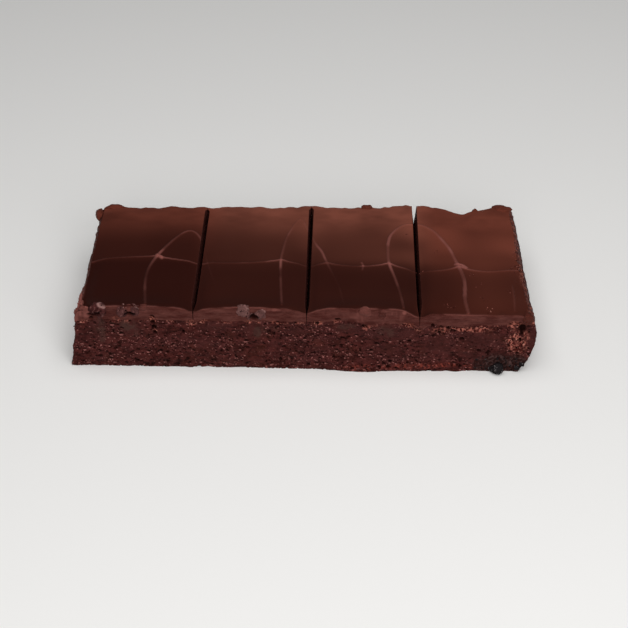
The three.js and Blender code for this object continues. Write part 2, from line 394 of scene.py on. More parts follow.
class Finish:
    """A material being made: its shader, and the patterns and layers that it is made of."""

    def __init__(self, name: str) -> None:
        """Starts the material with a bare shader."""
        self.material = bpy.data.materials.new(name)
        self.material.use_nodes = True
        self.tree = self.material.node_tree
        self.shader = self.tree.nodes["Principled BSDF"]
        self.place = self.add("TexCoord", {}, "Object")

    def fill(self, node: bpy.types.Node, sockets: dict) -> None:
        """Fills a node's inputs, each with a value, a hex colour or the output that feeds it."""
        for name, value in sockets.items():
            if isinstance(value, Socket):
                self.tree.links.new(value, node.inputs[name])
            else:
                node.inputs[name].default_value = linear(value) if isinstance(value, str) else value

    def add(self, kind: str, sockets: dict, output: int | str = 0, **settings: object) -> Socket:
        """Adds a node with its settings and links.

        Args:
            kind: the node's type, without the ShaderNode that each one starts with.
            sockets: input name or number to what fills it.
            output: the one of its outputs that is wanted.
            settings: the node's own properties.

        Returns:
            That output.
        """
        made = self.tree.nodes.new(f"ShaderNode{kind}")
        for name, value in settings.items():
            setattr(made, name, value)
        self.fill(made, sockets)
        return made.outputs[output]

    def grain(self, size: float, detail: float = 3.0, stretch: tuple = (1.0, 1.0, 1.0)) -> Socket:
        """Noise whose lumps are size mm across, longer along an axis where stretch is over 1."""
        scale = tuple(1.0 / (size * MM * s) for s in stretch)
        placed = self.add("Mapping", {"Vector": self.place, "Scale": scale})
        sockets = {"Vector": placed, "Scale": 1.0, "Detail": detail, "Roughness": 0.6}
        return self.add("TexNoise", sockets, "Fac")

    def patches(
        self,
        size: float,
        bounds: tuple[float, float],
        detail: float = 3.0,
        stretch: tuple = (1.0, 1.0, 1.0),
        shares: tuple[float, float] = (0.0, 1.0),
    ) -> Socket:
        """Patches of a grain, whose values between two bounds go from one share to the other."""
        grain = self.grain(size, detail, stretch)
        return self.add("MapRange", dict(enumerate((grain, *bounds, *shares))))

    def laid(self, colour: Socket | str, *layers: tuple[Socket | str, Socket | str]) -> Socket:
        """Lays colours over one another.

        Args:
            colour: the lowest one.
            layers: for each, the share in which it covers what is below it, and its colour. A share
                is an output, or the name of a number that the mesh keeps for each point.

        Returns:
            The colour that shows.
        """
        for share, over in layers:
            if isinstance(share, str):
                share = self.add("Attribute", {}, "Fac", attribute_name=share)
            colour = self.add("Mix", {0: share, 6: colour, 7: over}, 2, data_type="RGBA")
        return colour


@dataclass(frozen=True)
class BrownieCrumb:
    """Brownie, baked dense and moist and cut with a knife.

    That makes it matt and nearly black-red, with a fine open grain.
    """

    deep: str = "#240d0c"
    crumb: str = "#48211f"
    ruddy: str = "#4f2a2a"
    rusty: str = "#3d1c14"
    lit: str = "#a06660"
    open_rim: str = "#bc7c6c"
    open_deep: str = "#3a110f"
    open_lit: str = "#a86154"
    foot_lit: str = "#9a483b"
    smeared: str = "#381c1b"
    scraped: str = "#432e29"
    sooty: str = "#160f0e"
    sooty_lit: str = "#4c3a38"
    pore: str = "#0a0303"
    shine: str = "#ff9078"

    def make(self) -> bpy.types.Material:
        """Builds the material."""
        f = Finish("brownie_crumb")
        smeared = f.add("Attribute", {}, "Fac", attribute_name="smeared")
        knifed = f.add("Math", {0: smeared, 1: 0.7}, operation="MULTIPLY")
        closed = f.add("Math", {0: smeared, 1: 0.9}, operation="MULTIPLY")
        opened = f.add("Math", {0: 1.0, 1: closed}, operation="SUBTRACT")
        flecks = f.patches(0.95, (0.63, 0.7), 1.5)
        clusters = f.patches(9.0, (0.4, 0.62), 2.0, (1.6, 1.6, 1.0), (0.1, 0.8))
        flecks = f.add("Math", {0: flecks, 1: clusters}, operation="MULTIPLY")
        flecks = f.add("Math", {0: flecks, 1: opened}, operation="MULTIPLY")
        cracks = f.patches(1.2, (0.43, 0.35), 2.0, (1.8, 1.8, 1.0), (0.0, 0.9))
        cracks = f.add("Math", {0: cracks, 1: opened}, operation="MULTIPLY")
        # The foot's torn crumb is moister, and so redder.
        height = f.add("SeparateXYZ", {0: f.place}, 2)
        at_foot = f.add("MapRange", {0: height, 1: 8.0 * MM, 2: 4.0 * MM})
        lit = f.laid(self.open_lit, (at_foot, self.foot_lit))
        torn = f.laid(
            self.open_deep,
            (f.patches(1.3, (0.45, 0.62), 4.0), lit),
            # Painted highlights on the torn crumb.
            (f.patches(0.9, (0.6, 0.66), 1.0), f.laid(self.open_rim, (at_foot, lit))),
            (f.patches(1.6, (0.42, 0.36), 2.0), self.pore),
        )
        # Lit flecks and pore rims are painted highlights, pores and cracks painted shade.
        colour = f.laid(
            self.deep,
            (f.patches(1.9, (0.36, 0.62), 4.0, (1.7, 1.7, 1.0)), self.crumb),
            (f.patches(9.0, (0.4, 0.75), 2.0, (1.6, 1.6, 1.0), (0.0, 0.4)), self.ruddy),
            (f.patches(6.0, (0.5, 0.75), 1.0, shares=(0.0, 0.45)), self.rusty),
            (knifed, self.smeared),
            ("scraped", self.scraped),
            (flecks, self.lit),
            (cracks, self.pore),
            ("rim", self.lit),
            ("torn", torn),
            ("sooty", f.laid(self.sooty, (f.patches(1.2, (0.47, 0.64)), self.sooty_lit))),
            ("pore", self.pore),
        )
        coarse = f.grain(1.6, 4.0, (2.0, 2.0, 1.0))
        coarse = f.add("Math", {0: coarse, 1: 1.4}, operation="MULTIPLY")
        relief = f.add("Math", {0: f.grain(0.7), 1: coarse}, operation="ADD")
        relief = {"Height": relief, "Distance": 0.3 * MM, "Strength": 0.9}
        sockets = {
            "Base Color": colour,
            "Roughness": f.patches(1.3, (0.35, 0.65), shares=(0.55, 0.85)),
            "IOR": 1.45,
            "Specular IOR Level": 0.18,
            "Specular Tint": self.shine,
            "Normal": f.add("Bump", relief),
        }
        f.fill(f.shader, sockets)
        return f.material


@dataclass(frozen=True)
class ChocolateIcing:
    """Fudge icing, poured and set: smooth and satin on top, with painted sheen towards the back.

    A knife has left it paler and dull where it is cut, and the crowns of the piped lines carry a
    painted highlight.
    """

    top: str = "#2b100c"
    milky: str = "#793f31"
    milky_brown: str = "#7e4739"
    crown: str = "#855049"
    cut: str = "#3b1b18"
    cut_light: str = "#5a342f"
    open_deep: str = "#3c1814"
    open_lit: str = "#985a4c"
    pore: str = "#0c0404"
    shine: str = "#ff7a5c"

    def make(self) -> bpy.types.Material:
        """Builds the material."""
        f = Finish("chocolate_icing")
        cut = f.add("Attribute", {}, "Fac", attribute_name="cut")
        streaks = f.patches(1.6, (0.35, 0.7), stretch=(4.0, 1.0, 1.0))
        # Holes and the dark spots of torn places take painted shade.
        torn = f.laid(
            self.open_deep,
            (f.patches(0.9, (0.42, 0.64), 4.0), self.open_lit),
            (f.patches(1.6, (0.42, 0.36), 2.0), self.pore),
        )
        colour = f.laid(
            self.top,
            # Painted sheen, paler towards the back, stands in for light falling from behind.
            ("milky", f.laid(self.milky, ("browned", self.milky_brown))),
            (cut, f.laid(self.cut, (streaks, self.cut_light))),
            # The crown share is a painted highlight.
            ("crown", self.crown),
            ("torn", torn),
            ("pore", self.pore),
        )
        satin = f.patches(14.0, (0.3, 0.7), shares=(0.36, 0.44))
        dulled = f.add("Math", {0: cut, 1: 0.22}, operation="MULTIPLY")
        # The top keeps a trace of the relief that the cut has.
        uneven = f.add("Math", {0: cut, 1: 0.9}, operation="MULTIPLY")
        uneven = f.add("Math", {0: uneven, 1: 0.06}, operation="ADD")
        relief = f.add("Math", {0: f.grain(0.7), 1: uneven}, operation="MULTIPLY")
        relief = {"Height": relief, "Distance": 0.12 * MM, "Strength": 0.8}
        sockets = {
            "Base Color": colour,
            "Roughness": f.add("Math", {0: satin, 1: dulled}, operation="ADD"),
            "IOR": 1.46,
            "Specular IOR Level": 0.18,
            "Specular Tint": self.shine,
            "Normal": f.add("Bump", relief),
        }
        f.fill(f.shader, sockets)
        return f.material


@dataclass(frozen=True)
class BloomedChocolate:
    """Chips of chocolate, dragged down by the knife.

    That leaves them brown, with streaks of dull grey bloom, which on glossy chips are painted
    glints, and a painted highlight on the rim.
    """

    name: str = "bloomed_chocolate"
    dark: str = "#321716"
    brown: str = "#472524"
    bloom: str = "#6b4542"
    rim: str = "#946f6a"
    bloom_from: float = 0.56
    shine_level: float = 0.06
    shine: str = "#ff8a70"
    dent: str = "#120707"
    pore: str = "#0c0404"

    def make(self) -> bpy.types.Material:
        """Builds the material."""
        f = Finish(self.name)
        bloomed = (self.bloom_from, self.bloom_from + 0.12)
        colour = f.laid(
            self.dark,
            (f.patches(2.6, (0.35, 0.65)), self.brown),
            # The streaks are grey bloom, and on the glossy chips painted glints.
            (f.patches(1.1, bloomed, 3.0, (1.0, 1.0, 2.4), (0.0, 0.8)), self.bloom),
            # The rim colour is a painted highlight.
            ("crown", self.rim),
            # Dents and holes take painted shade.
            (f.patches(2.0, (0.42, 0.35)), self.dent),
            ("pore", self.pore),
        )
        relief = {"Height": f.grain(1.0), "Distance": 0.2 * MM, "Strength": 0.8}
        sockets = {
            "Base Color": colour,
            "Roughness": f.patches(1.8, (0.3, 0.7), shares=(0.4, 0.7)),
            "IOR": 1.46,
            "Specular IOR Level": self.shine_level,
            "Specular Tint": self.shine,
            "Normal": f.add("Bump", relief),
        }
        f.fill(f.shader, sockets)
        return f.material


@dataclass(frozen=True)
class PaleFloor:
    """A matt painted surface, nearly white."""

    paint: str = "#f3f2f0"

    def make(self) -> bpy.types.Material:
        """Builds the material."""
        f = Finish("pale_floor")
        sockets = {"Base Color": self.paint, "Roughness": 0.9, "Specular IOR Level": 0.1}
        f.fill(f.shader, sockets)
        return f.material


# The bar.


@dataclass(frozen=True)
class FrontFace:
    """What shows on the long face that was cut: torn crumb, smears and holes, at their places."""

    torn: tuple[Spot, ...] = (
        Spot(-96.4, 24.1, 2.6, 1.1), Spot(-81.8, 25.6, 2.6, 1.6), Spot(-65.2, 26.0, 2.2, 1.9),
        Spot(-48.4, 24.2, 2.4, 1.6), Spot(-42.8, 25.2, 2.4, 1.2), Spot(-22.4, 25.2, 2.0, 1.1),
        Spot(-11.2, 24.9, 2.2, 1.0), Spot(7.4, 25.2, 2.4, 1.0), Spot(15.8, 26.0, 2.0, 1.0),
        Spot(29.2, 22.9, 2.2, 1.4), Spot(47.2, 24.6, 3.0, 1.2), Spot(61.5, 22.2, 5.0, 1.6),
        Spot(76.0, 22.6, 9.0, 1.4), Spot(94.0, 25.2, 4.6, 2.2), Spot(95.8, 16.8, 5.2, 7.4),
        Spot(31.0, 1.9, 15.0, 1.6, 0.36), Spot(50.0, 2.4, 12.0, 1.6, 0.42),
        Spot(64.0, 3.0, 6.0, 1.2, 0.5), Spot(75.1, 2.4, 2.6, 1.0, 0.48),
        Spot(-64.6, 19.5, 1.2, 0.8),
    )
    smeared: tuple[Spot, ...] = (
        Spot(-90.2, 21.6, 4.6, 5.0), Spot(-75.3, 22.0, 6.4, 4.0), Spot(-38.0, 22.6, 8.0, 2.4, 0.8),
        Spot(-20.4, 21.6, 4.6, 4.0), Spot(20.7, 22.0, 6.5, 2.8), Spot(40.0, 20.6, 12.0, 4.4),
        Spot(60.0, 14.5, 11.0, 4.6, 0.9), Spot(78.5, 16.6, 12.0, 5.0, 0.9),
        Spot(-2.0, 20.5, 6.0, 2.0), Spot(82.0, 9.0, 12.0, 3.4, 0.8),
        Spot(-40.0, 13.0, 7.0, 1.6, 0.5), Spot(10.0, 11.0, 8.0, 1.5, 0.5),
        Spot(38.0, 11.0, 9.0, 3.0, 0.7), Spot(102.4, 17.5, 2.0, 7.0),
    )
    scraped: tuple[Spot, ...] = (
        Spot(-88.6, 22.0, 2.6, 5.0, 0.75), Spot(-88.2, 16.0, 1.8, 4.0, 0.55),
        Spot(-76.4, 22.6, 3.6, 3.4, 0.7), Spot(-73.6, 19.0, 2.0, 3.0, 0.4),
        Spot(-19.2, 19.6, 1.9, 3.2, 0.7), Spot(-13.6, 21.0, 4.0, 2.0, 0.35),
        Spot(20.0, 23.2, 4.4, 1.6, 0.5), Spot(38.0, 21.2, 4.8, 3.4, 0.55),
    )
    # Dark chocolate has melted into the foot by the last corner.
    sooty: tuple[Spot, ...] = (
        Spot(87.0, 4.4, 8.0, 5.4, 0.9), Spot(96.0, 4.2, 5.0, 5.6, 0.9),
        Spot(79.0, 3.6, 2.4, 4.0, 0.8),
    )
    # Pale places on the icing's cut side, drawn with the painted highlight.
    pale: tuple[Spot, ...] = (
        Spot(-95.4, 29.0, 3.4, 3.2, 0.5), Spot(-97.6, 26.4, 1.6, 3.0, 0.35),
        Spot(-68.6, 30.4, 1.4, 1.2, 0.25), Spot(-27.6, 29.4, 2.4, 1.6, 0.3),
        Spot(-13.0, 31.6, 4.4, 0.7, 0.45), Spot(26.6, 28.6, 3.4, 3.0, 0.45),
        Spot(37.2, 29.4, 0.6, 2.4, 0.45), Spot(45.4, 30.9, 1.0, 1.0, 0.7),
        Spot(41.0, 29.0, 5.0, 2.6, 0.3), Spot(22.0, 30.0, 16.0, 3.0, 0.12),
        Spot(84.0, 23.4, 6.0, 0.7, 0.7),
    )
    holes: tuple[Spot, ...] = (
        Spot(-65.5, 27.6, 0.9, 0.6), Spot(-65.4, 24.2, 1.0, 1.0), Spot(-92.4, 26.3, 0.9, 0.6),
        Spot(-89.5, 29.3, 1.4, 0.8), Spot(-20.6, 27.9, 2.0, 1.6), Spot(-64.6, 18.6, 0.8, 0.8),
        Spot(-52.0, 19.4, 0.7, 1.0), Spot(16.3, 27.2, 1.2, 0.7), Spot(27.7, 23.6, 1.5, 0.8),
        Spot(61.7, 23.4, 0.9, 0.8), Spot(67.2, 21.9, 1.3, 0.8), Spot(71.2, 17.4, 1.0, 0.8),
        Spot(97.4, 23.0, 1.7, 2.9), Spot(96.8, 17.0, 0.8, 1.2), Spot(-91.8, 28.0, 2.4, 0.9),
        Spot(-75.0, 29.0, 2.4, 1.1), Spot(58.0, 24.6, 0.7, 0.8), Spot(64.8, 23.0, 0.9, 0.9),
        Spot(-65.0, 21.3, 1.0, 1.3),
    )
    # How deep the holes go, mm.
    cake_hole: float = 1.6
    icing_hole: float = 1.3


@dataclass(frozen=True)
class CrumbRelief:
    """The cut crumb's relief on any side of the cake, mm."""

    swell: float = 0.35
    grain: float = 0.2
    smear: float = 0.1
    pore_depth: float = 0.8
    large_pores: Pits = Pits(2.7, 0.5, 0.35, 0.85, 1.45, 11)
    small_pores: Pits = Pits(1.35, 0.55, 0.22, 0.42, 1.2, 23)

    def at(
        self, a: Values, z: Values, face: int, smeared: Values, torn: Values
    ) -> tuple[Values, Values, Values]:
        """Gives the relief of a face.

        Args:
            a, z: the point along and up the face.
            face: a number for the face, so that no two are alike.
            smeared: where a knife has smoothed the crumb, 0 to 1.
            torn: where the crumb is torn open, 0 to 1.

        Returns:
            How far each point stands out, and the shares of it in a pore and on a pore's lower rim.
        """
        shift = 137.0 * face
        rough = 1.0 - 0.8 * smeared + 1.2 * torn
        lumps = self.swell * noise(a / 7, z / 5, shift, face)
        lumps = lumps + 0.2 * noise(a / 2.6, z / 1.8, shift, face + 3)
        grain = self.grain * crumbly(a / 1.5, z / 1.05, shift, face + 5, 2)
        smear = self.smear * noise(a / 7, z / 0.7, shift, face + 9)
        clusters = between(0.3, 1.7, ramp(noise(a / 9, z / 5, shift, face + 11), -0.5, 0.6))
        open_share = np.clip(clusters - 1.1 * smeared + 0.5 * torn, 0.0, 1.8)
        pores, below = (
            np.maximum(
                self.large_pores.depth(a + shift, z + drop, open_share),
                0.85 * self.small_pores.depth(a + shift, z + drop, open_share),
            )
            for drop in (0.0, 0.3)
        )
        broken = ramp(noise(a / 0.9, z / 0.9, shift, face + 12), -0.1, 0.6)
        # The pores' lower rims take a painted highlight, the pores themselves painted shade.
        rims = np.clip(1.8 * (below - pores), 0.0, 1.0) * broken
        return lumps + grain * rough + smear - self.pore_depth * pores, pores, rims


@dataclass
class CakeSlice:
    """The crumb of one slice: a closed block with relief on the sides that show.

    pressed is the part of the relief that a knife leaves between two slices, pressed_in how far it
    pushes it in, mm, and soot how much of the melted chocolate's colour shows.
    """

    index: int
    crumb: bpy.types.Material
    bar: Bar = BAR
    relief: CrumbRelief = CrumbRelief()
    front_face: FrontFace = FrontFace()
    steps: tuple[int, int, int] = (165, 100, 85)
    end_steps: tuple[int, int, int] = (160, 150, 82)
    pressed: float = 0.12
    pressed_in: float = 0.6
    soot: float = 0.9

    def build(self) -> Piece:
        """Makes the piece and puts it in the place of its solid."""
        steps = self.end_steps if self.index in (0, 3) else self.steps
        piece = boxed_grid(f"brownie_slice_{self.index + 1}", steps)
        u, v, w = read_points(piece).T
        left, right = Cut(self.index), Cut(self.index + 1)
        y = between(self.bar.front, self.bar.front + self.bar.depth, v)
        x = between(self.bar.cuts[left.value], self.bar.cuts[right.value], u)
        z = w * self.bar.layer(x, y)
        x = between(self.bar.wall(left, 1, y, z), self.bar.wall(right, -1, y, z), u)
        # Where a cut is shut, at its two ends, its faces are flat.
        parted = ramp(v, 0.0, 0.07) * (1.0 - ramp(v, 0.93, 0.98))
        y = between(self.bar.front_face(x, z), self.bar.back(x) - 1.0, v)
        on_front, on_back, on_left, on_right = sides(u, v)
        shown = self.front_face
        smeared, scraped, torn, hole, sooty = (
            np.where(on_front, most(spots, x, z), 0.0)
            for spots in (shown.smeared, shown.scraped, shown.torn, shown.holes, shown.sooty)
        )
        smeared = np.where(on_back, ramp(noise(x / 9, z / 4, 50.0), 0.1, 0.6), smeared)
        smeared = smeared * (0.75 + 0.25 * noise(x / 2.4, z / 1.2, 55.0))
        scraped = scraped * ramp(noise(x / 2.2, z / 1.8, 57.0), -0.9, 0.1)
        # Along the icing the crumb is torn open in a ragged line, most of all on the last slice.
        seam = ramp(noise(x / 3.2, 65.0, 0.0), -0.3, 0.2) * between(0.65, 1.0, ramp(x, 45.0, 58.0))
        seam = seam * bell(self.bar.layer(x, y) - 0.5 - z, 0.7)
        torn = np.where(on_front, np.maximum(torn, seam), torn)
        torn = np.where(on_back, ramp(noise(x / 8, z / 5, 60.0), 0.35, 0.8), torn)
        torn = torn * ramp(noise(x / 1.6, y / 1.6, z / 1.3, 90), -0.7, 0.2) * (1.0 - sooty)
        pore, rim = np.zeros(len(u)), np.zeros(len(u))
        for face, (mask, a, axis, sign) in enumerate(
            ((on_front, x, 1, -1), (on_back, x, 1, 1), (on_left, y, 0, -1), (on_right, y, 0, 1))
        ):
            inner = axis == 0 and (self.index, sign) not in ((0, -1), (3, 1))
            out, deep, lit = self.relief.at(a, z, face + 1, smeared, torn)
            # Between two slices the knife has pressed the crumb smooth.
            out = self.pressed * (out - self.pressed_in) * parted if inner else out
            if axis == 0:
                x = np.where(mask, x + sign * out, x)
            else:
                y = np.where(mask, y + sign * (out - shown.cake_hole * hole), y)
            # Pores and holes take painted shade, the pores' lower rims a painted highlight.
            pore = np.where(mask, np.maximum(np.minimum(deep * 1.1, 1.0), hole), pore)
            rim = np.where(mask, lit * (1.0 - sooty), rim)
        write_points(piece, np.column_stack((x, y, z)))
        write_shares(
            piece,
            pore=pore,
            sooty=self.soot * sooty,
            rim=rim * (1.0 - 0.9 * smeared),
            smeared=smeared,
            scraped=scraped,
            torn=torn,
        )
        piece.data.materials.append(self.crumb)
        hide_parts(f"slice_{self.index + 1}_cake")
        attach(piece, "root")
        return piece


@dataclass(frozen=True)
class Bead:
    """A thin line of icing piped on the surface.

    points are x, distance from the front, and how strong the line is there.
    """

    points: tuple[tuple[float, float, float], ...]
    half_width: float
    height: float

    def line(self) -> Values:
        """Points half a millimetre or so apart along a smooth curve through the given ones."""
        given = np.array(self.points)
        padded = np.vstack((2 * given[0] - given[1], given, 2 * given[-1] - given[-2]))
        pieces = []
        for a, b, c, d in zip(padded, padded[1:], padded[2:], padded[3:]):
            count = max(3, int(np.hypot(*(c - b)[:2]) / 0.8))
            t = np.linspace(0.0, 1.0, count, endpoint=False)[:, None]
            pieces.append(
                b + 0.5 * t * (c - a + t * (2 * a - 5 * b + 4 * c - d + t * (3 * (b - c) + d - a)))
            )
        return np.vstack((*pieces, given[-1]))

    def rise(self, x: Values, from_front: Values) -> Values:
        """How far the bead lifts the surface at each point, mm."""
        line = self.line()
        low, high = line[:, :2].min(0) - 4.0, line[:, :2].max(0) + 4.0
        near = (x > low[0]) & (x < high[0]) & (from_front > low[1]) & (from_front < high[1])
        spots = np.column_stack((x[near], from_front[near]))
        best, strength = np.full(len(spots), 1e9), np.zeros(len(spots))
        for a, b in zip(line, line[1:]):
            along = b[:2] - a[:2]
            t = np.clip((spots - a[:2]) @ along / (along @ along), 0.0, 1.0)
            away = np.hypot(*(spots - a[:2] - t[:, None] * along).T)
            closer = away < best
            best = np.where(closer, away, best)
            strength = np.where(closer, a[2] + (b[2] - a[2]) * t, strength)
        width = self.half_width * (0.45 + 0.55 * strength)
        crown = np.sqrt(np.clip(1.0 - (best / width) ** 2, 0.0, 1.0))
        foot = 0.15 * bell(best, 1.3)
        lifted = np.zeros(len(x))
        lifted[near] = self.height * strength * (0.85 * crown + foot)
        return lifted


def swag(start: tuple[float, float], end: tuple[float, float], sag: float, strength: float) -> list:
    """Points of a thread that sags towards the front between two places where it sticks.

    Args:
        start, end: x and distance from the front.
        sag: how far its middle hangs, mm.
        strength: how strong the line is in its middle.

    Returns:
        Points with their strength, without the last.
    """
    made = []
    for t in np.arange(0.0, 0.99, 0.125):
        hang = 4 * t * (1 - t)
        made.append(
            (
                start[0] + (end[0] - start[0]) * t,
                start[1] + (end[1] - start[1]) * t - sag * hang,
                1.0 + (strength - 1.0) * hang,
            )
        )
    return made


LONG_LINE = (
    *swag((-98, 38.8), (-68, 42.4), -0.6, 0.45),
    *swag((-68, 42.4), (-10, 40.6), 3.9, 0.55),
    *swag((-10, 40.6), (11, 38.6), 2.1, 0.4),
    *swag((11, 38.6), (39, 38.9), 2.4, 0.6),
    *swag((39, 38.9), (71, 36.7), 4.6, 0.5),
    *swag((71, 36.7), (98, 36.9), 3.6, 0.7),
    (98, 36.9, 0.9),
)

BEADS = (
    Bead(
        (
            (-68.4, 2.5, 0.9), (-69.9, 14, 0.9), (-70.6, 23, 0.8), (-70.2, 32, 0.8),
            (-67.6, 42, 1.0), (-62.7, 53.6, 0.9), (-57.9, 62, 0.7), (-54.4, 65, 0.6),
            (-50.9, 63, 0.6), (-48, 57, 0.6), (-46.2, 48, 0.2), (-43.6, 37, 0.2), (-40.8, 26, 0.2),
            (-38.8, 18, 0.15), (-36.6, 6, 0.0),
        ),
        0.85,
        0.5,
    ),
    Bead(
        (
            (-8.4, 3.5, 0.75), (-9.5, 20, 0.75), (-10.3, 39, 0.9), (-9.6, 49, 0.9),
            (-8.3, 59.8, 0.7), (-5.3, 70.6, 0.5), (-2.7, 76.5, 0.4), (-1.0, 75, 0.5),
            (0.9, 69, 0.6), (3.2, 62, 0.6), (5.8, 54, 0.8), (8.3, 48, 0.9), (10.6, 39.4, 0.8),
            (14.2, 27.5, 0.4), (17, 17, 0.35), (18.8, 4.5, 0.2),
        ),
        0.8,
        0.45,
    ),
    Bead(
        (
            (45.1, 2.5, 0.9), (43.9, 13.5, 0.8), (42, 25.5, 0.8), (39.2, 39.5, 0.9),
            (38.9, 50.5, 1.0), (39.2, 57, 1.0), (40.7, 63.8, 0.9), (44.8, 70.6, 0.7),
            (48.8, 73.4, 0.6), (53.6, 73.3, 0.8), (57.4, 70.6, 1.0), (61.5, 65.4, 1.0),
            (67, 53, 1.0), (69.3, 43.5, 1.0), (72.1, 31.3, 1.2), (72.9, 23.3, 1.25),
            (72.4, 10.6, 1.2), (73.4, 1.5, 1.0),
        ),
        0.85,
        0.52,
    ),
    Bead(((93.9, 25, 0.1), (94.1, 18, 0.6), (94.1, 11, 0.6), (93.7, 3, 0.4)), 0.8, 0.4),
    Bead(LONG_LINE, 0.65, 0.4),
    Bead(((-67.6, 43.4, 1.0), (-65.9, 42.2, 1.2), (-65.0, 40.6, 0.8)), 0.9, 0.5),
    Bead(((69.4, 38.6, 0.8), (72.0, 38.4, 1.2), (74.4, 36.2, 0.9)), 0.8, 0.5),
    Bead(((26.6, 39.6, 0.9), (27.4, 36.6, 0.7), (27.0, 33.4, 0.7)), 0.6, 0.35),
)


